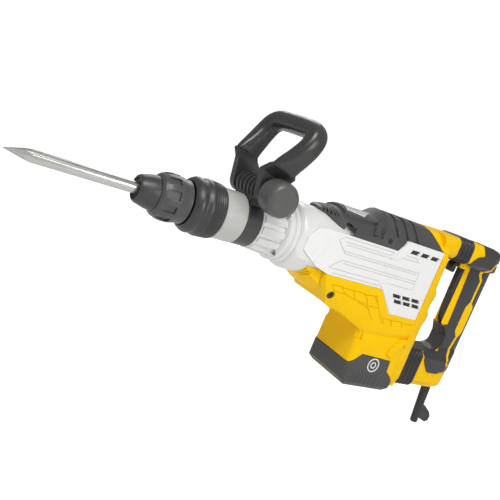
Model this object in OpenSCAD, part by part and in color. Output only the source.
// Demolition hammer, electric, with an SDS-max tool holder, a vertical motor and a sprung rear D-handle.
// Frame: the impact axis is X. The chisel points to -X, the rear handle is at +X, and +Z is up.
// The origin is on the impact axis, at the mouth of the steel tool holder.

/* [Chisel] */
// Diameter of the bare chisel shaft
chisel_d = 16; // [14:0.5:17]
// Distance that the chisel stands out of the tool holder
chisel_reach = 173; // [150:1:260]
// Length of the four-sided point
point_len = 34; // [24:1:60]
// Diameter of the tool shank
shank_d = 18; // [18:1:18]
// Length of shank inside the tool holder
shank_len = 88; // [84:1:88]

/* [Tool holder] */
// Outer radius of the locking sleeve
sleeve_r = 32; // [31:0.5:34]
// Outer radius of the index ring
ring_r = 39.3; // [37:0.1:41]
// Number of thumb recesses around the locking sleeve
sleeve_recesses = 10; // [6:1:12]

/* [Barrel] */
// Radius of the collar that the handle band sits behind
collar_r = 35.4; // [34:0.1:37]
// Radius of the barrel where the handle band turns
neck_r = 31.3; // [30:0.1:31.3]
// Number of ribs along the barrel
barrel_ribs = 14; // [8:1:18]
// Radius of the flange that closes the barrel
flange_r = 44; // [42:0.5:46]

/* [Body] */
// Half of the body's width over the side plates
body_half = 50; // [49:0.5:52]
// Half of the gear case's width
case_half = 45.3; // [44:0.1:45.3]
// Radius of the round nose of the gear housing
nose_r = 50; // [48:0.5:51]
// Half of the motor leg's width
leg_half = 49.5; // [48:0.5:50]
// Front face of the motor leg
leg_front = 398; // [394:1:399]
// Back face of the motor leg
leg_back = 508; // [506:1:510]

/* [Side handle] */
// Height of the clamp bolt over the impact axis
bolt_z = 50; // [49:0.5:53]
// Tilt of the side handle to the rear
handle_tilt = 16.5; // [0:0.5:25]
// Distance from the clamp bolt to the middle of the grip
grip_rise = 102; // [95:1:110]
// Half of the distance between the middles of the handle's two arms
grip_half = 60; // [55:1:61]
// Diameter of the clamp knob
knob_d = 48; // [40:1:50]

/* [Drive] */
// Throw of the crank pin
crank_throw = 9; // [7:0.5:9]
// Length of the connecting rod
rod_len = 80; // [80:1:82]
// Radius of the cylinder's bore
bore_r = 20; // [20:1:20]
// Teeth on the motor pinion
pinion_teeth = 8; // [8:1:8]
// Teeth on the intermediate gear
idler_teeth = 36; // [36:1:36]
// Teeth on the intermediate pinion
idler_pinion_teeth = 10; // [10:1:10]
// Teeth on the crank gear
crank_teeth = 30; // [30:1:30]

/* [Rear handle] */
// Half of the grip's width
grip_w = 17; // [15:0.5:19]
// Half of the handle arms' width
arm_half = 28; // [26:0.5:30]
// Diameter of the cord guard at the handle
guard_d = 16; // [15:0.5:18]
// Radius of the cable hole in the cord guard
cable_r = 4.75; // [4:0.25:5.5]

/* [Hidden] */

$fn = 72;
gap = 0.3;              // clearance between parts that only lie close
eps = 0.01;             // overlap of solids that are joined
holder_r = 17.5;        // front part of the tool holder
holder_rear_r = 21.8;   // rear part of the tool holder
holder_end = 148;
neck_x = 142;           // where the barrel's neck starts
band_w = 23.4;
band_r = 34.9;
rib_x = 169;            // where the ribbed barrel starts
flange_x = 205;
nose_x = 225;           // where the gear housing starts
bolt_x = neck_x + band_w / 2 + 0.3;
case_front = 352;
case_back = 472;
case_top = 46;
case_floor = -52;
crank_x = 389.5;
gear_module = 1.75;
idler_module = 1.25;
idler_x = crank_x + gear_module * (crank_teeth + idler_pinion_teeth) / 2;
motor_x = idler_x + idler_module * (idler_teeth + pinion_teeth) / 2;
crank_pin_x = crank_x - crank_throw;
wrist_x = crank_pin_x - rod_len;
piston_x = 262;
piston_len = 72;
piston_r = bore_r - 0.05;
plate_in = case_half + 0.3;
plate_back = 499;
wall_x = 516;           // the back wall of the body, in front of the fingers
arm_front = 548;        // where the upper bellows starts
low_arm_front = 540;    // where the lower bellows starts
handle_x = 584;         // where the rear handle's shell starts
grip_x = 605;
low_x = 577;            // where its lower arm starts
trigger_pivot = [608, 31];
lever_pivot = [594, 35.2];
saddle_half = 29;
guard_x = 648;
guard_lean = 6;
guard_len = 75;

// A solid of revolution about X, from points of [radius, x]
module turned(points) { rotate([0, 90, 0]) rotate_extrude() polygon(points); }

// A round bar or tube along X
module tube(x0, x1, r, bore = 0) {
    turned([[bore, x0], [r, x0], [r, x1], [bore, x1]]);
}

// An outline in X and Z, drawn out along Y to both sides
module side(half, points) { rotate([90, 0, 0]) linear_extrude(2 * half, center = true) polygon(points); }

// The same outline between two distances to the left, and its mirror image to the right
module flank(y0, y1, points) {
    translate([0, -y0, 0]) rotate([90, 0, 0]) linear_extrude(y1 - y0) polygon(points);
}
module both() {
    children();
    mirror([0, 1, 0]) children();
}

// An outline in Y and Z drawn along X, and one in X and Y drawn along Z
module across(x0, x1, points) { translate([x0, 0, 0]) rotate([90, 0, 90]) linear_extrude(x1 - x0) polygon(points); }
module plan(z0, z1, points) { translate([0, 0, z0]) linear_extrude(z1 - z0) polygon(points); }

// A box from its low corner to its high corner
module block(low, high) { translate(low) cube(high - low); }

// An upright block with rounded corners
module rounded_block(x0, x1, half, z0, z1, r) {
    translate([0, 0, z0]) linear_extrude(z1 - z0) {
        translate([x0 + r, -half]) square([x1 - x0 - 2 * r, 2 * half]);
        translate([x0, -half + r]) square([x1 - x0, 2 * half - 2 * r]);
        for (x = [x0 + r, x1 - r], y = [-half + r, half - r]) translate([x, y]) circle(r);
    }
}

// A rounded outline in Y and Z, for the bellows and the handle's arms
module oblong(half, z0, z1, r) {
    translate([-half + r, z0]) square([2 * half - 2 * r, z1 - z0]);
    translate([-half, z0 + r]) square([2 * half, z1 - z0 - 2 * r]);
    for (y = [-half + r, half - r], z = [z0 + r, z1 - r]) translate([y, z]) circle(r);
}
module oblong_bar(x0, x1, half, z0, z1, r) {
    translate([x0, 0, 0]) rotate([90, 0, 90]) linear_extrude(x1 - x0) oblong(half, z0, z1, r);
}

// Thin lines between points, for engraving
module trace(points, w = 0.9) {
    for (i = [0:len(points) - 2]) let(p = points[i], q = points[i + 1], n = w / 2 * (q - p) / norm(q - p))
        polygon([p - n + [n[1], -n[0]], q + n + [n[1], -n[0]], q + n - [n[1], -n[0]], p - n - [n[1], -n[0]]]);
}
module engrave(lines) {
    translate([0, -body_half + 0.7, 0]) rotate([90, 0, 0]) linear_extrude(3) for (l = lines) trace(l);
}

// A coil spring along X. The wire's slanted cut is drawn round the coil, and twisted as it is drawn out.
function wire_cut(r, wire, rise) = [for (t = [0:30:330])
    let(a = 360 * wire * sin(t) / rise, q = r + wire * cos(t)) [q * cos(a), q * sin(a)]];
module coil_spring(x0, x1, r, wire, turns) {
    len = x1 - x0 - 2 * wire;
    translate([x0 + wire, 0, 0]) rotate([0, 90, 0])
        linear_extrude(len, twist = -360 * turns, slices = 12 * turns, $fn = 6)
            polygon(wire_cut(r, wire, len / turns));
}

// A spur gear about Z; the teeth are a little slimmer than half the pitch
function tooth(a, half_root, half_tip, root, tip) = [
    [root * cos(a - half_root), root * sin(a - half_root)],
    [tip * cos(a - half_tip), tip * sin(a - half_tip)],
    [tip * cos(a + half_tip), tip * sin(a + half_tip)],
    [root * cos(a + half_root), root * sin(a + half_root)]];
module gear(x, z0, z1, teeth, m, phase = 0) {
    pitch_r = m * teeth / 2;
    step = 360 / teeth;
    outline = [for (i = [0:teeth - 1], p = tooth(phase + i * step, 0.30 * step, 0.13 * step,
        pitch_r - 1.05 * m, pitch_r + 0.75 * m)) p];
    translate([x, 0, z0]) linear_extrude(z1 - z0) polygon(outline);
}

// ---------- the working end ----------

module chisel() {
    r = chisel_d / 2;
    shank = shank_d / 2;
    color("silver") difference() {
        union() {
            intersection() {
                tube(-chisel_reach, 0.5, r);
                side(20, [[-chisel_reach, -0.6], [-chisel_reach + point_len, -r - 0.2], [1, -r - 0.2],
                    [1, r + 0.2], [-chisel_reach + point_len, r + 0.2], [-chisel_reach, 0.6]]);
                plan(-20, 20, [[-chisel_reach, -0.6], [-chisel_reach + point_len, -r - 0.2], [1, -r - 0.2],
                    [1, r + 0.2], [-chisel_reach + point_len, r + 0.2], [-chisel_reach, 0.6]]);
            }
            turned([[0, 0], [r, 0], [shank, 4], [shank, shank_len - 3], [shank - 2, shank_len], [0, shank_len]]);
        }
        for (a = [0, 120, 240]) rotate([a, 0, 0]) block([shank_len - 52, -1.6, shank - 2.4], [shank_len + 1, 1.6, shank + 1]);
        for (a = [60, 240]) rotate([a, 0, 0]) translate([shank_len - 52, 0, shank + 1.5])
            rotate([0, 90, 0]) cylinder(h = 32, r = 4);
    }
}

module dust_cap() {
    color("#2b2b2c") turned([[9.6, -3], [13.5, -5], [14.5, -8.5], [16.8, -8.5], [18.6, -5.5], [20.6, 2], [22.4, 9],
        [23.4, 16.8], [holder_r + 0.1, 16.8], [holder_r + 0.1, 3.2], [9.6, 3.2]]);
}

module tool_holder() {
    color("dimgray") difference() {
        turned([[0, 3.5], [holder_r, 3.5], [holder_r, 60], [holder_rear_r, 61], [holder_rear_r, holder_end], [0, holder_end]]);
        tube(0, 95, shank_d / 2 + 0.06);
        tube(90, holder_end + 1, 12);
        both() block([40, holder_r - 9.2, -2.7], [63, holder_r + 1, 2.7]);
    }
    color("dimgray") for (i = [0:11]) rotate([i * 30 + 15, 0, 0]) block([92, -2, holder_rear_r - 1], [98, 2, 25]);
}

module locking_bars() {
    color("gray") both() translate([42, 12.1, 0]) rotate([0, 90, 0]) cylinder(h = 16, r = 2.6);
}

module locking_sleeve() {
    r = sleeve_r;
    color("#3a3a3b") difference() {
        turned([[holder_r + 0.1, 17.2], [24, 17.2], [r - 4.2, 20], [r - 1.2, 26], [r, 33], [r, 43], [r - 0.8, 47],
            [29.6, 54], [29.6, 60], [26.5, 60], [26.5, 34], [holder_r + 0.1, 34]]);
        for (i = [0:sleeve_recesses - 1]) rotate([i * 360 / sleeve_recesses, 0, 0])
            block([21.5, -5.5, r - 3], [41, 5.5, r + 2]);
    }
}

module sleeve_spring() { color("silver") coil_spring(34.2, 59.8, 23, 1.2, 4); }

module index_ring() {
    r = ring_r;
    ribs = [for (i = [0:4]) each [[r - 1.5, 90 + 3.2 * i], [r - 0.2 - 0.18 * i, 91.4 + 3.2 * i], [r - 1.5, 92.8 + 3.2 * i]]];
    color("#3a3a3b") turned(concat([[30.2, 62], [31.6, 62], [34.8, 64.5], [r - 1.8, 69], [r - 1.2, 73], [r - 2.6, 77.5],
        [r - 2.2, 80], [r - 0.4, 83.5], [r, 86.5], [r - 1.2, 89]], ribs,
        [[r - 2, 107.3], [collar_r + 0.3, 107.3], [collar_r + 0.3, 99.8], [25.4, 99.8], [25.4, 78], [30.2, 78]]));
}

module front_collar() {
    color("whitesmoke") turned([[holder_rear_r + 0.1, 105.3], [collar_r - 1, 105.3], [collar_r, 106.5],
        [collar_r, neck_x - 1.2], [collar_r - 1, neck_x], [holder_rear_r + 0.1, neck_x]]);
}

// ---------- the barrel and the side handle ----------

module barrel() {
    color("gainsboro") difference() {
        union() {
            turned([[holder_rear_r + 1.1, neck_x + 0.05], [neck_r, neck_x + 0.05], [neck_r, 166], [35.2, 166], [36, 167],
                [35.2, rib_x], [34, rib_x + 1], [36, flange_x - 1], [41, flange_x + 1], [43, flange_x + 3],
                [43, flange_x + 8], [41.5, flange_x + 9], [41.5, flange_x + 11], [flange_r, flange_x + 12.5],
                [flange_r, nose_x - 1], [flange_r - 1, nose_x], [holder_rear_r + 1.1, nose_x]]);
            for (i = [0:barrel_ribs - 1]) rotate([(i + 0.5) * 360 / barrel_ribs, 0, 0])
                rotate([90, 0, 0]) linear_extrude(9, center = true)
                    polygon([[rib_x + 1.2, 30], [rib_x + 1.2, 35.2], [rib_x + 4, 36.4], [flange_x - 4, 38.6],
                        [flange_x + 2, 38.8], [flange_x + 2, 30]]);
        }
        for (i = [0:3]) rotate([45 + 90 * i, 0, 0]) translate([0, 0, 38.2]) {
            tube(flange_x - 10, flange_x + 6, 4.2);
            tube(flange_x + 5, nose_x + 1, 2.6);
        }
    }
}

module clamp_band() {
    color("#1f1f20") difference() {
        tube(neck_x + 0.3, neck_x + band_w, band_r, neck_r + 0.1);
        block([neck_x, -6, 20], [neck_x + band_w + 1, 6, 40]);
    }
}

// The saddle sits on the band and carries the ribbed boss round the clamp bolt
module handle_saddle() {
    x0 = neck_x + 1;
    x1 = neck_x + band_w - 1;
    color("#2a2a2b") difference() {
        union() {
            side(saddle_half - 5, [[x0, 26], [x0, bolt_z], [x1, bolt_z], [x1, 26]]);
            translate([bolt_x, 0, bolt_z]) rotate([90, 0, 0]) cylinder(h = 2 * saddle_half, r = 15.5, center = true);
            for (y = [-21, -10.5, 0, 10.5, 21]) translate([bolt_x, y, bolt_z])
                rotate([90, 0, 0]) cylinder(h = 4.5, r = 17.2, center = true);
            across(x0 - 1.5, x1 + 1.5, [[-saddle_half + 2, 38.5], [-saddle_half + 2, 41.5], [-saddle_half + 6, 46],
                [saddle_half - 6, 46], [saddle_half - 2, 41.5], [saddle_half - 2, 38.5], [20, 29], [-20, 29]]);
        }
        tube(neck_x - 5, neck_x + band_w + 5, collar_r + 0.4);
        translate([bolt_x, 0, bolt_z]) rotate([90, 0, 0]) cylinder(h = 80, r = 5.1, center = true);
    }
}

// In the handle's own frame the bolt is at the origin and Z runs up the arms
module handle_frame() {
    translate([bolt_x, 0, bolt_z]) rotate([0, handle_tilt, 0]) children();
}

module arm_slab(x, y, z, half_w, half_t, h) {
    translate([x - half_w, y - half_t, z]) cube([2 * half_w, 2 * half_t, h]);
}

module handle_yoke() {
    color("#242425") handle_frame() difference() {
        both() {
            hull() {
                translate([0, -30, 0]) rotate([90, 0, 0]) cylinder(h = 12, r = 18);
                arm_slab(-7, -36, 20, 22, 6, 1);
            }
            hull() {
                arm_slab(-7, -36, 20.5, 22, 6, 1);
                arm_slab(-10, -52, 32, 19.3, 7.5, 1);
            }
            hull() {
                arm_slab(-10, -52, 32.5, 19, 6.5, 1);
                arm_slab(-9, -53.5, 44, 11, 4.5, 1);
            }
        }
        rotate([90, 0, 0]) cylinder(h = 120, r = 5.1, center = true);
    }
}

// Half of the grip's bow: three stages from the yoke to the middle of the top bar
module grip_stage(x, y, z, half_w, r) {
    for (side_x = [x - half_w + r, x + half_w - r]) translate([side_x, y, z]) sphere(r, $fn = 24);
}
module handle_grip() {
    top = grip_rise;
    color("#4a4a4b") handle_frame() difference() {
        both() {
            hull() {
                arm_slab(-10.5, -52.5, 34, 19.5, 8.5, 1);
                grip_stage(-1.5, -grip_half, top - 21, 15.5, 13);
            }
            hull() {
                grip_stage(-1.5, -grip_half, top - 21, 15.5, 13);
                grip_stage(0.5, -grip_half + 9, top - 7, 15, 13);
            }
            hull() {
                grip_stage(0.5, -grip_half + 9, top - 7, 15, 13);
                grip_stage(1.5, 0, top, 14, 13);
            }
        }
        both() hull() {
            arm_slab(-10, -52, 30, 19.3, 6.8, 4.2);
            arm_slab(-9, -53.5, 44.5, 11.4, 4.9, 1);
        }
    }
}

module clamp_bolt() {
    color("silver") {
        translate([bolt_x, 0, bolt_z]) rotate([90, 0, 0]) cylinder(h = 110, r = 5, center = true);
        translate([bolt_x, 46, bolt_z]) rotate([90, 30, 0]) cylinder(h = 6.5, r = 9.2, center = true, $fn = 6);
        translate([bolt_x, -43.6, bolt_z]) rotate([90, 0, 0]) cylinder(h = 2, r = 12, center = true);
    }
}

module clamp_knob() {
    r = knob_d / 2;
    color("#3c3c3d") translate([bolt_x, -46, bolt_z]) rotate([90, 0, 0])
        rotate_extrude() polygon([[5.1, 0], [12, 0], [14, 1], [r - 2, 4], [r - 0.5, 7], [r, 12], [r, 27], [r - 0.6, 31],
            [r - 2.2, 34.5], [r - 4.6, 37], [r - 6.2, 37.8], [r - 7, 37.2], [0, 37.2], [0, 10.5], [5.1, 10.5]]);
}

// ---------- the body ----------

// The gear case's cross-section has chamfered upper corners, and the cover follows them
module case_block(x0, x1, z0, grow = 0) {
    w = case_half + grow;
    z = case_top + grow;
    across(x0, x1, [[-w, z0], [-w, z - 6], [6 - w, z], [w - 6, z], [w, z - 6], [w, z0]]);
}

module gear_housing() {
    color("gainsboro") difference() {
        union() {
            intersection() {
                turned([[0, nose_x + 0.05], [flange_r + 0.5, nose_x + 0.05], [nose_r - 2.2, nose_x + 3], [nose_r, nose_x + 9],
                    [nose_r, case_front + 20], [0, case_front + 20]]);
                block([nose_x - 5, -case_half, -nose_r], [case_front + 30, case_half, nose_r + 5]);
            }
            case_block(case_front - 30, case_back, -38);
            block([case_front + 8, -36, case_floor], [case_back, 36, -37]);
        }
        tube(nose_x - 1, case_front + 2, holder_rear_r + 1.1);
        for (i = [0:3]) rotate([45 + 90 * i, 0, 0]) translate([nose_x - 1, 0, 38.2])
            rotate([0, 90, 0]) cylinder(h = 16, r = 2.6);
        block([case_front, -40, -34], [case_back - 6, 40, case_top - 5]);
        block([case_front + 12, -32, case_floor + 5], [case_back - 6, 32, -33]);
        translate([motor_x, 0, case_floor - 1]) cylinder(h = 10, r = 11);
    }
    color("gainsboro") difference() {
        block([idler_x, -15, -11.5], [case_back - 5, 15, -3.5]);
        translate([idler_x, 0, -12]) cylinder(h = 7.7, r = 11.05);
        translate([idler_x, 0, -12]) cylinder(h = 12, r = 9);
    }
}

// Outline of a side plate, seen from the left
plate_front = [[237, -8], [268, -26], [290, -32]];
plate_low = [[402, -32], [436, -67], [plate_back, -67]];
plate_top = [[plate_back, 50], [416, 50], [402, 31], [262, 31], [248, 27], [237, 11]];
plate_outline = concat(plate_front, plate_low, plate_top);

// The three vents above, and the two rows of three below, as slanted slots
module vent(x, z, w, h, lean) { polygon([[x, z], [x + w, z], [x + w + lean, z + h], [x + lean, z + h]]); }
module vents() {
    for (i = [0:2]) {
        vent(427 + 22.5 * i, 33, 17, 6.5, 3);
        vent(430 + 21 * i, -40, 17.5, 6, -3);
        vent(437 + 20 * i, -48.5, 17, 6, -3);
    }
}

// Engraved lines of a side plate
plate_lines = [[[306, 4], [287, 21], [297, 27], [396, 27], [391, 21], [300, 21]], [[304, 17], [399, 17]],
    [[306, 4], [458, 4]], [[303, 7.5], [462, 7.5], [462, -7]], [[416, 23], [452, 23], [445, 28.5], [422, 28.5]],
    [[461, -6.5], [306, -6.5], [288, -21.5], [390, -21.5]], [[311, -10.5], [463, -10.5], [463, -21], [408, -21]],
    [[298, -28], [392, -28]]];

module side_plate_shape() {
    difference() {
        intersection() {
            flank(plate_in, body_half, plate_outline);
            plan(-80, 60, [[230, -20], [230, -46.2], [292, -body_half], [plate_back - 3, -body_half],
                [plate_back + 1, -body_half + 2.5], [plate_back + 1, -20]]);
        }
        translate([0, -plate_in + 1, 0]) rotate([90, 0, 0]) linear_extrude(10) vents();
        engrave(plate_lines);
    }
    flank(body_half - 1, body_half + 0.8, [[400, 17.5], [410, 17.5], [427, 34], [427, 46], [415, 46], [403, 30.5]]);
    flank(body_half - 1, body_half + 0.8, [[393, -25], [404, -22], [437, -55], [437, -66], [402.5, -31.5]]);
}
module side_plate_left() { color("white") side_plate_shape(); }
module side_plate_right() { color("white") mirror([0, 1, 0]) side_plate_shape(); }

module vent_inserts() {
    color("#151515") both() translate([0, -plate_in - 0.4, 0]) rotate([90, 0, 0]) linear_extrude(1) vents();
}

// The cover's cross-section, in Y and Z, and the same a little lower for its grooves
cover_half = [[-49, 31], [-49, 43], [-46.9, 48], [-41, 55.5], [-33, 64], [-22, 74.5], [-12, 77.5]];
groove_half = [[-43.5, 48], [-38.3, 54.5], [-31.4, 63], [-21, 72.8], [-11.6, 75.6]];
function mirrored(half) = concat(half, [for (i = [len(half) - 1:-1:0]) [-half[i][0], half[i][1]]]);

// The edge at which the cover ends and the yellow back begins
cover_tail = [[466, 79], [479, 71.5], [489, 61], [497, 50.4]];

module cover_shape() {
    cut = 0.35;
    difference() {
        union() {
            intersection() {
                side(60, concat([[261, 31.4], [261, 79]], cover_tail, [[415.8, 50.4], [401.8, 31.4]]));
                across(220, 500, mirrored(cover_half));
                plan(20, 90, [[260, -12], [270, -17], [278, -27], [290, -34], [302, -37], [312, -46], [318, -body_half],
                    [500, -body_half], [500, body_half], [318, body_half], [312, 46], [302, 37], [290, 34], [278, 27],
                    [270, 17], [260, 12]]);
                turned([[0, 256], [53, 260], [57, 267], [61, 292], [63, 366], [78, 379], [90, 382], [90, 505], [0, 505]]);
            }
            intersection() {
                turned([[50, 294], [65, 299], [66, 367], [61, 386], [50, 386]]);
                plan(30, 90, [[296, -24], [306, -29.5], [366, -29.5], [386, -24], [386, 24], [366, 29.5], [306, 29.5], [296, 24]]);
            }
            both() for (i = [0:2]) intersection() {
                flank(36, 48, [[346 + 17 * i, 43], [355 + 17 * i, 43], [368 + 17 * i, 63], [359 + 17 * i, 63]]);
                across(330, 420, [[-50.4, 41], [-46.4, 48], [-41.4, 55.5], [-34.4, 65], [-30, 65], [-30, 40]]);
            }
        }
        tube(220, 520, nose_r + cut);
        case_block(300, case_back + cut, 20, cut);
        for (i = [0:4]) side(34, [[266 + 4.4 * i, 50], [268 + 4.4 * i, 50], [268.6 + 4.4 * i, 72], [266.6 + 4.4 * i, 72]]);
        for (x = [308, 380]) both() translate([x, -40, 41]) rotate([90, 0, 0]) cylinder(h = 20, r = 4.4);
    }
}
module top_cover() {
    color("#3d3e40") difference() {
        cover_shape();
        for (i = [0:2]) difference() {
            side(60, [[390 + 22 * i, 50], [397 + 22 * i, 50], [393 + 22 * i, 90], [386 + 22 * i, 90]]);
            across(220, 505, mirrored(groove_half));
        }
    }
}

module cover_badge() {
    color("lightgray") difference() {
        intersection() {
            turned([[64, 290], [66.9, 290], [66.9, 370], [64, 370]]);
            plan(40, 80, [[303, -20], [336, -25.5], [364, 0], [336, 25.5], [303, 20], [309, 0]]);
        }
        turned([[0, 280], [63, 288], [65.15, 299], [66.15, 367], [66.15, 380], [0, 380]]);
        plan(40, 80, [[319, -9], [336, -9], [346, 0], [336, 9], [319, 9], [324, 0]]);
    }
}

module cover_screws() {
    color("#1a1a1a") for (x = [308, 380]) both() difference() {
        translate([x, -case_half - 0.2, 41]) rotate([90, 0, 0]) cylinder(h = 2.8, r = 4);
        translate([x, -case_half - 1.5, 41]) rotate([90, 0, 0]) cylinder(h = 2.8, r = 2, $fn = 6);
    }
}

// Outline of the rubber bumper, seen from the left
bumper_outline = [[leg_front - 1.5, -157.5], [402, -158], [420, -140], [482, -143], [484, -162], [509, -180],
    [495, -197], [410, -197], [leg_front - 1.5, -186]];
bumper_half = leg_half + 1.2;

module motor_core(grow = 0) {
    rounded_block(leg_front + 3 - grow, leg_back - 6 + grow, leg_half - 3 + grow, -190 - grow, -120, 9);
}

module keel() {
    hull() {
        side(20, [[244, -30], [247, -37], [263, -51], [283, -63], [300, -66.5], [318, -69], [318, -33]]);
        side(41, [[258, -30], [268, -41], [286, -50], [318, -56], [318, -30]]);
    }
    hull() {
        side(20, [[318, -33], [318, -69], [348, -81], [leg_front + 4, -104], [leg_front + 4, -33]]);
        side(44, [[318, -33], [318, -60], [leg_front + 4, -96], [leg_front + 4, -33]]);
    }
}

module flank_panels() {
    h = body_half;
    hull() {
        side(h, [[290, -32.3], [350, -32.3], [350, -63], [312, -59], [294, -46]]);
        side(h - 6, [[288, -32.3], [350, -32.3], [350, -85], [314, -77], [290, -48]]);
    }
    hull() {
        side(h, [[350, -32.3], [414, -32.3], [414, -98], [350, -63]]);
        side(h - 6, [[350, -32.3], [414, -32.3], [414, -110], [350, -85]]);
    }
    hull() {
        side(h, [[414, -32.3], [508, -32.3], [508, -90], [414, -98]]);
        side(h - 6, [[414, -32.3], [508, -32.3], [508, -105], [414, -110]]);
    }
    hull() {
        side(leg_half, [[leg_front + 8, -118], [508, -118], [508, -122], [leg_front + 8, -122]]);
        side(h - 6, [[leg_front + 8, -100], [508, -100], [508, -120], [leg_front + 8, -120]]);
    }
}

// Engraved lines of the yellow flanks
panel_lines = [
    [[398, -45], [376, -47], [371, -45.3], [330, -45.3], [327, -44.6], [307, -44.6], [315, -53.6], [336, -53.6], [355, -58],
        [382, -60.5]],
    [[327, -44.6], [336, -53.6]], [[350, -45.3], [358, -57.5]], [[371, -45.3], [382, -53], [386, -61], [406, -82]],
    [[398, -45], [413, -64.5], [430, -84]], [[395, -47], [405, -55]], [[390, -62.5], [411, -62.1]],
    [[366, -61.7], [380, -62.6], [390, -67.5]],
    [[434, -85.5], [428, -75.8], [444, -75.8], [453, -85]], [[447, -77], [468, -75.4], [476, -84]], [[470, -77], [495, -76]]];

module motor_housing() {
    color("gold") difference() {
        union() {
            keel();
            flank_panels();
            difference() {
                rounded_block(leg_front, leg_back, leg_half, -190, -118, 12);
                difference() {
                    side(60, [for (p = bumper_outline) p + [p[0] < 450 ? -1 : 1, p[1] < -185 ? -4 : 0.3]]);
                    motor_core();
                }
            }
            plan(-120, -100, [[leg_front, -leg_half + 12], [leg_front + 5, -leg_half + 5], [leg_back, -leg_half + 5],
                [leg_back, leg_half - 5], [leg_front + 5, leg_half - 5], [leg_front, leg_half - 12]]);
            both() flank(leg_half - 4, body_half + 1.5, [[468, -133], [468, -124], [488, -103], [500, -103], [500, -106], [478, -137]]);
        }
        tube(200, case_front + 30, nose_r + gap);
        block([290, -case_half - gap, -38 - gap], [520, case_half + gap, 20]);
        block([case_front + 8 - gap, -36 - gap, case_floor - gap], [case_back + gap, 36 + gap, -30]);
        translate([motor_x, 0, -182]) cylinder(h = 150, r = 44);
        both() flank(plate_in - 1, body_half + 3, concat(plate_front, [for (p = plate_low) p - [0, gap]], plate_top));
        block([plate_back + 0.1, -60, -200], [560, 60, 60]);
        for (i = [0:4]) both() translate([249 + 4 * i, -24, -41 - 0.8 * i]) rotate([0, 20, 0]) block([0, -30, -6], [1.6, 0, 9]);
        both() engrave(panel_lines);
        both() translate([313, -52, -61]) rotate([90, 0, 0]) cylinder(h = 30, r = 6.2, center = true);
    }
}

module brush_caps() {
    color("#202020") both() difference() {
        translate([313, -37, -61]) rotate([90, 0, 0]) cylinder(h = 10, r = 6.2);
        block([305, -48, -62], [321, -46, -60]);
    }
}

module bumper() {
    color("#3b3c3e") difference() {
        intersection() {
            side(bumper_half, bumper_outline);
            rounded_block(leg_front - 1.5, 510, bumper_half, -200, -130, 13);
            across(390, 515, [[-bumper_half, -130], [-bumper_half, -189], [-44, -197.5], [44, -197.5],
                [bumper_half, -189], [bumper_half, -130]]);
        }
        motor_core(gap);
        for (i = [0:6]) both() translate([418 + 10 * i, -bumper_half + 1.6, -172])
            rotate([0, 12, 0]) block([-1.6, -6, -30], [1.6, 0, 0]);
        both() translate([450, -bumper_half + 1.3, -155]) rotate([90, 0, 0]) cylinder(h = 4, r = 12.3);
        block([504, -60, -200], [515, 60, -186]);
    }
}

module bumper_badges() {
    color("whitesmoke") both() difference() {
        translate([450, -bumper_half + 1.2 + eps, -155]) rotate([90, 0, 0]) cylinder(h = 1.2, r = 12);
        translate([450, -bumper_half + 0.5, -155]) rotate([90, 0, 0]) cylinder(h = 3, r = 8);
    }
}

module rear_housing() {
    wall = [[plate_back + 0.4, -188], [plate_back + 0.4, 49.6], [508, 49.6], [514, 42], [514, 4], [517, -10],
        [526, -17], [526, -27], [521, -36], [521, -48], [530, -55], [530, -64], [523, -74], [522, -128], [522, -188]];
    color("gold") difference() {
        union() {
            intersection() {
                side(body_half, wall);
                plan(-200, 60, [[490, -body_half], [508, -body_half], [532, -body_half + 10], [532, body_half - 10],
                    [508, body_half], [490, body_half]]);
                across(480, 535, [[-body_half, -120], [-40, -189], [40, -189], [body_half, -120], [body_half, 40],
                    [44, 50], [-44, 50], [-body_half, 40]]);
            }
            intersection() {
                side(60, concat([for (p = cover_tail) p + [0.4, 0.4]], [[515, 50], [515, 79.5], [467, 79.5]]));
                across(440, 520, mirrored(cover_half));
            }
            hull() {
                oblong_bar(500.5, 501, 40, 44, 77.4, 14);
                oblong_bar(arm_front - 1, arm_front, arm_half + 1, 43, 79.5, 12);
            }
            hull() {
                oblong_bar(509, 510, 42, -188, -118, 12);
                oblong_bar(low_arm_front - 1, low_arm_front, arm_half + 1, -187, -126, 12);
            }
        }
        block([case_back, -43, -40], [wall_x - 6, 43, 38]);
        block([leg_back + 1, -36, -180], [wall_x - 5, 36, -110]);
        oblong_bar(490, arm_front + 1, 22, 48, 76, 8);
        oblong_bar(505, low_arm_front + 1, 22, -180, -134, 8);
        block([430, -60, 20], [plate_back + 0.4, 60, 52]);
        side(60, [for (p = bumper_outline) p + [0.6, p[1] < -190 ? -3 : 0]]);
    }
}

// ---------- the rear handle ----------

module bellows(x0, x1, half, z0, z1, r, ribs) {
    pitch = (x1 - x0) / ribs;
    difference() {
        union() {
            oblong_bar(x0, x1, half - 2.4, z0 + 2.4, z1 - 2.4, r - 2.4);
            for (i = [0:ribs - 1]) oblong_bar(x0 + i * pitch, x0 + i * pitch + pitch * 0.62, half, z0, z1, r);
        }
        oblong_bar(x0 - 1, x1 + 1, half - 6, z0 + 6, z1 - 6, r - 4);
    }
}
module upper_bellows() { color("#161616") bellows(arm_front + 0.1, handle_x - 0.1, arm_half + 2.5, 40, 82, 13, 4); }
module lower_bellows() { color("#161616") bellows(low_arm_front + 0.1, low_x - 0.1, arm_half + 2.5, -190, -122, 13, 4); }

module damper_springs() {
    color("silver") translate([0, 0, 62]) coil_spring(520, handle_x + 2, 9, 1.8, 5);
    color("silver") translate([0, 0, -157]) coil_spring(512, handle_x + 5, 11, 1.8, 5);
}

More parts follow.
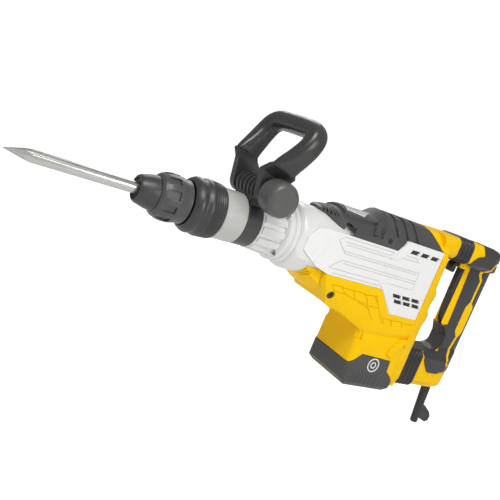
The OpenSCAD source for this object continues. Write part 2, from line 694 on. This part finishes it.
grip_outline = [[grip_x, 43], [grip_x, -70], [615, -77], [622, -90], [622, -106], [616, -115], [604, -121], [604, -124],
    [664, -124], [670, -62], [671, 0], [669, 30], [669, 43]];
top_arm = [[handle_x, 42], [handle_x, 80.2], [640, 80.2], [654, 78], [663, 71], [668, 62], [668, 56], [666, 47],
    [664, 42], [640, 38], [607, 38]];
low_arm = [[low_x, -124], [590, -122], [612, -120], [618, -112], [662, -112], [660, -140], [653, -160], [647, -176],
    [640, -184], [632, -187], [low_x, -187]];

module handle_solid(grow = 0) {
    w = grip_w - 2 + grow;
    intersection() {
        side(w, [for (p = grip_outline) p + [p[0] > 640 ? grow : -grow, 0]]);
        plan(-130, 50, [[600, -w + 8.5], [604, -w + 7], [612, -w + 2], [620, -w], [653, -w], [664, -w + 4], [670, -w + 9],
            [672, -w + 13], [672, w - 13], [670, w - 9], [664, w - 4], [653, w], [620, w], [612, w - 2], [604, w - 7],
            [600, w - 8.5]]);
    }
    intersection() {
        side(arm_half + grow, top_arm);
        across(570, 680, [[-grip_w - grow, 36], [-arm_half - grow, 46], [-arm_half - grow, 66], [-16, 80.3],
            [16, 80.3], [arm_half + grow, 66], [arm_half + grow, 46], [grip_w + grow, 36]]);
        plan(30, 90, [[570, -40], [622, -40], [664, -20], [671, -12], [671, 12], [664, 20], [622, 40], [570, 40]]);
    }
    intersection() {
        side(arm_half + grow, low_arm);
        across(570, 670, [[-18, -188], [-arm_half - grow, -176], [-arm_half - grow, -132], [-grip_w + 2 - grow, -111],
            [grip_w - 2 + grow, -111], [arm_half + grow, -132], [arm_half + grow, -176], [18, -188]]);
        plan(-200, -100, [[570, -40], [634, -31], [656, -19.5], [663, -9], [663, 9], [656, 19.5], [634, 31], [570, 40]]);
    }
}

// Raised lines of the shell that stay bare between the soft areas
stripe = [[672, 61], [657, 59], [646, 53], [634, 36], [634, 31], [643, 21], [643, -20], [637, -30], [637, -76],
    [645, -86], [640, -112], [635, -121], [635, -136], [641, -142], [653, -142], [655, -137], [644, -137], [640, -133],
    [640, -123], [645, -113], [650, -86], [657, -76], [657, -31], [648, -20], [648, 22], [640, 33], [649, 47], [657, 53],
    [672, 55]];

module handle_shell_half() {
    difference() {
        union() {
            handle_solid();
            intersection() {
                handle_solid(2);
                flank(9, arm_half + 2, stripe);
            }
        }
        block([500, 0, -250], [700, 60, 100]);
        side(8.2, [[grip_x - 12, 41], [grip_x - 12, -74], [620, -74], [620, 41]]);
        side(11.4, [[619, 20], [619, -88], [652, -88], [652, 20]]);
        oblong_bar(handle_x - 1, 622, 20, 50, 75, 8);
        oblong_bar(low_x - 1, 622, 20, -178, -134, 8);
        guard_frame() translate([0, 0, -21]) cylinder(h = 24, r = 7.3);
    }
    difference() {
        flank(8, 12, [[587, 31.8], [587, 38.4], [592, 43.5], [602, 43.5], [602, 31.8]]);
        translate([lever_pivot[0], 0, lever_pivot[1]]) rotate([90, 0, 0]) cylinder(h = 40, r = 1.7, center = true);
    }
}
module handle_shell_left() { color("gold") handle_shell_half(); }
module handle_shell_right() { color("gold") mirror([0, 1, 0]) handle_shell_half(); }

// The soft cover wraps the grip behind the trigger, and the corners of the handle
soft_area = [[611.5, 36], [585, 37], [585, 41], [592, 51], [601, 60], [614, 64], [617, 76], [613, 90], [700, 90],
    [700, -150], [640, -151], [630, -153], [621, -157], [599, -157], [583, -140], [577.5, -126], [570, -120], [570, -112],
    [598, -110], [598, -76], [606, -72], [616, -69]];
module grip_cover() {
    color("#47484a") difference() {
        intersection() {
            union() {
                handle_solid(2);
                translate([1.2, 0, 0.8]) handle_solid(1);
            }
            side(60, soft_area);
        }
        handle_solid(0.03);
        both() flank(8.7, arm_half + 4, [for (p = stripe) p]);
        side(13.3, [[grip_x - 30, 42], [grip_x - 30, -72.3], [618, -72.3], [618, 42]]);
        block([500, -50, -210], [700, 50, -184]);
    }
}

module trigger() {
    px = trigger_pivot[0];
    pz = trigger_pivot[1];
    color("#20242c") {
        difference() {
            intersection() {
                side(7.6, [[px + 4, 37], [px - 5, 37], [px - 7, 30.5], [602, 28], [600, 20], [599, 5], [599, -12],
                    [603, -18], [605, -40], [609, -62], [612, -69], [615, -67], [615, -50], [614, 10]]);
                plan(-80, 40, [[598, -2.5], [601, -5.5], [607, -7.6], [620, -7.6], [620, 7.6], [607, 7.6], [601, 5.5],
                    [598, 2.5]]);
            }
            translate([px, 0, pz]) rotate([90, 0, 0]) cylinder(h = 40, r = 2.1, center = true);
            side(5.2, [[606, 22], [605, 0], [607, -17], [609, -40], [613, -58], [627, -58], [627, 22]]);
        }
    }
}

module lock_lever() {
    color("#242424") difference() {
        side(7.6, [[598, 32.2], [598, 38], [582, 38.5], [576, 36], [573.5, 30], [575, 23], [579, 20], [583, 22], [583.5, 31.8]]);
        translate([lever_pivot[0], 0, lever_pivot[1]]) rotate([90, 0, 0]) cylinder(h = 40, r = 1.7, center = true);
    }
}

module power_switch() {
    color("#303030") block([623, -10, -52], [648, 10, 14]);
    color("#b02020") block([619, -4.5, -30], [623, 4.5, -18]);
}

module handle_pins() {
    color("silver") {
        translate([trigger_pivot[0], 0, trigger_pivot[1]]) rotate([90, 0, 0]) cylinder(h = 16, r = 2, center = true);
        translate([lever_pivot[0], 0, lever_pivot[1]]) rotate([90, 0, 0]) cylinder(h = 24, r = 1.6, center = true);
    }
}

module trigger_spring() {
    color("silver") translate([0, 0, -40]) coil_spring(609.3, 622.8, 3.2, 0.5, 4);
}

// The guard's own frame: its Z runs down along the cable, leaning to the rear
module guard_frame() { translate([guard_x, 0, -189.5]) rotate([0, 180 - guard_lean, 0]) children(); }
module cord_guard() {
    r = guard_d / 2;
    color("#2c2c2d") difference() {
        union() {
            guard_frame() {
                cylinder(h = guard_len, r1 = r, r2 = r - 1.6);
                for (i = [0:14]) translate([0, 0, 5 + 4.6 * i]) cylinder(h = 2.2, r = r + 0.4 - 0.11 * i);
                translate([0, 0, -20]) cylinder(h = 20 + eps, r = 7);
            }
            side(2.6, [[656, -226], [667, -231], [684, -242], [690, -250], [689, -259], [682, -262], [674, -260],
                [657, -254]]);
        }
        guard_frame() translate([0, 0, -21]) cylinder(h = guard_len + 24, r = cable_r);
    }
}

// ---------- the hammer mechanism ----------

module cylinder_tube() {
    color("darkgray") difference() {
        tube(holder_end + 0.3, case_front - 1, holder_rear_r + 1, bore_r);
        for (a = [0:60:300]) rotate([a, 0, 0]) translate([236, 0, 15]) cylinder(h = 12, r = 1.6);
    }
}
module impact_bolt() {
    color("silver") turned([[0, 100.6], [8, 100.6], [8.6, 104], [11.9, 108], [11.9, 132], [9, 135], [9, 142], [0, 142]]);
}
module ram() {
    color("silver") difference() {
        turned([[0, 158], [14, 158], [19.9, 162], [19.9, 222], [0, 222]]);
        for (x = [204, 213]) tube(x - 1.6, x + 1.6, 30, 18);
    }
}
module ram_seals() { color("black") for (x = [204, 213]) tube(x - 1.5, x + 1.5, 19.95, 18.1); }
module piston() {
    color("lightgray") difference() {
        tube(piston_x, piston_x + piston_len, piston_r);
        tube(piston_x + 10, piston_x + piston_len + 1, 16.6);
        tube(piston_x + 4, piston_x + 7.4, 30, 18);
    }
}
module piston_seal() { color("black") tube(piston_x + 4.1, piston_x + 7.3, piston_r, 18.1); }

module connecting_rod() {
    color("gray") difference() {
        union() {
            translate([crank_pin_x, 0, -5]) cylinder(h = 10, r = 9);
            translate([wrist_x, 0, -5]) cylinder(h = 10, r = 5.6);
            plan(-3.5, 3.5, [[wrist_x, -4], [crank_pin_x, -6.5], [crank_pin_x, 6.5], [wrist_x, 4]]);
        }
        translate([crank_pin_x, 0, -6]) cylinder(h = 12, r = 5.05);
        translate([wrist_x, 0, -6]) cylinder(h = 12, r = 3.55);
    }
}
module wrist_pin() { color("silver") translate([wrist_x, 0, -8.5]) cylinder(h = 17, r = 3.5); }

module crank_gear() {
    color("dimgray") {
        gear(crank_x, -28, -16, crank_teeth, gear_module);
        translate([crank_x, 0, -16 - eps]) cylinder(h = 9, r = 21);
        translate([crank_pin_x, 0, -8]) cylinder(h = 14, r = 5);
        translate([crank_x, 0, -44]) cylinder(h = 16 + eps, r = 8);
    }
}
module crank_bearing() {
    color("silver") translate([crank_x, 0, -46.8]) difference() {
        cylinder(h = 9, r = 11);
        translate([0, 0, 2.5]) cylinder(h = 10, r = 8.05);
    }
}

// The intermediate shaft turns with its large gear below and its pinion above
idler_phase = 360 / idler_pinion_teeth / 2;
module idler_gear() {
    color("gray") {
        gear(idler_x, -28, -15, idler_pinion_teeth, gear_module, 180 + idler_phase);
        gear(idler_x, -42, -33, idler_teeth, idler_module);
        translate([idler_x, 0, -46]) cylinder(h = 40, r = 5.4);
    }
}
module idler_bearings() {
    color("silver") translate([idler_x, 0, -46.9]) difference() {
        cylinder(h = 3.4, r = 11);
        translate([0, 0, 0.8]) cylinder(h = 4, r = 5.45);
    }
    color("silver") translate([idler_x, 0, -11]) difference() {
        cylinder(h = 6.6, r = 11);
        translate([0, 0, -1]) cylinder(h = 7, r = 5.45);
    }
}

// ---------- the motor ----------

module motor_stator() {
    color("#8a5a35") translate([motor_x, 0, -140]) difference() {
        cylinder(h = 68, r = 43.6);
        translate([0, 0, -1]) cylinder(h = 70, r = 26.6);
        both() translate([-40, 30, -1]) cube([80, 3, 70]);
    }
}
module motor_armature() {
    color("#70706e") difference() {
        union() {
            translate([motor_x, 0, -136]) cylinder(h = 60, r = 26);
            translate([motor_x, 0, -176]) cylinder(h = 144, r = 3.3);
            gear(motor_x, -46, -32, pinion_teeth, idler_module, 180 + 180 / pinion_teeth);
        }
        for (i = [0:11]) rotate_about(motor_x, i * 30) block([22, -1.4, -140], [27, 1.4, -70]);
    }
}
module rotate_about(x, a) { translate([x, 0, 0]) rotate([0, 0, a]) children(); }
module commutator() {
    color("#b87333") difference() {
        translate([motor_x, 0, -160]) cylinder(h = 16, r = 14);
        translate([motor_x, 0, -161]) cylinder(h = 20, r = 3.4);
        for (i = [0:17]) rotate_about(motor_x, i * 20) block([12.6, -0.4, -161], [15, 0.4, -143]);
    }
}
module cooling_fan() {
    color("#333333") difference() {
        union() {
            translate([motor_x, 0, -68]) cylinder(h = 2.5, r = 36);
            translate([motor_x, 0, -68]) cylinder(h = 10, r = 9);
            for (i = [0:10]) rotate_about(motor_x, i * 360 / 11) block([8, -1, -66], [35.5, 1, -57]);
        }
        translate([motor_x, 0, -70]) cylinder(h = 20, r = 3.4);
    }
}
module carbon_brushes() {
    color("#1c1c1c") for (s = [-1, 1]) translate([motor_x, s * 21.5, -152]) cube([7, 14, 10], center = true);
}
module motor_bearings() {
    color("silver") for (z = [-176, -56]) translate([motor_x, 0, z]) difference() {
        cylinder(h = 8, r = 10.9);
        translate([0, 0, -1]) cylinder(h = 10, r = 3.35);
    }
}
module housing_screws() {
    color("silver") for (i = [0:3]) rotate([45 + 90 * i, 0, 0]) translate([0, 0, 38.2]) {
        tube(flange_x + 5.9, nose_x + 14, 2.5);
        tube(flange_x + 2, flange_x + 5.9 + eps, 4);
    }
}

chisel();
dust_cap();
tool_holder();
locking_sleeve();
sleeve_spring();
locking_bars();
index_ring();
front_collar();
barrel();
clamp_band();
handle_saddle();
handle_yoke();
handle_grip();
clamp_bolt();
clamp_knob();
gear_housing();
side_plate_left();
side_plate_right();
vent_inserts();
top_cover();
cover_badge();
cover_screws();
motor_housing();
brush_caps();
bumper();
bumper_badges();
rear_housing();
upper_bellows();
lower_bellows();
damper_springs();
handle_shell_left();
handle_shell_right();
grip_cover();
trigger();
lock_lever();
handle_pins();
power_switch();
trigger_spring();
cord_guard();
cylinder_tube();  // cylinder
impact_bolt();
ram();
ram_seals();
piston();
piston_seal();
connecting_rod();
wrist_pin();
crank_gear();
crank_bearing();
idler_gear();
idler_bearings();
motor_stator();
motor_armature();
commutator();
cooling_fan();
carbon_brushes();
motor_bearings();
housing_screws();
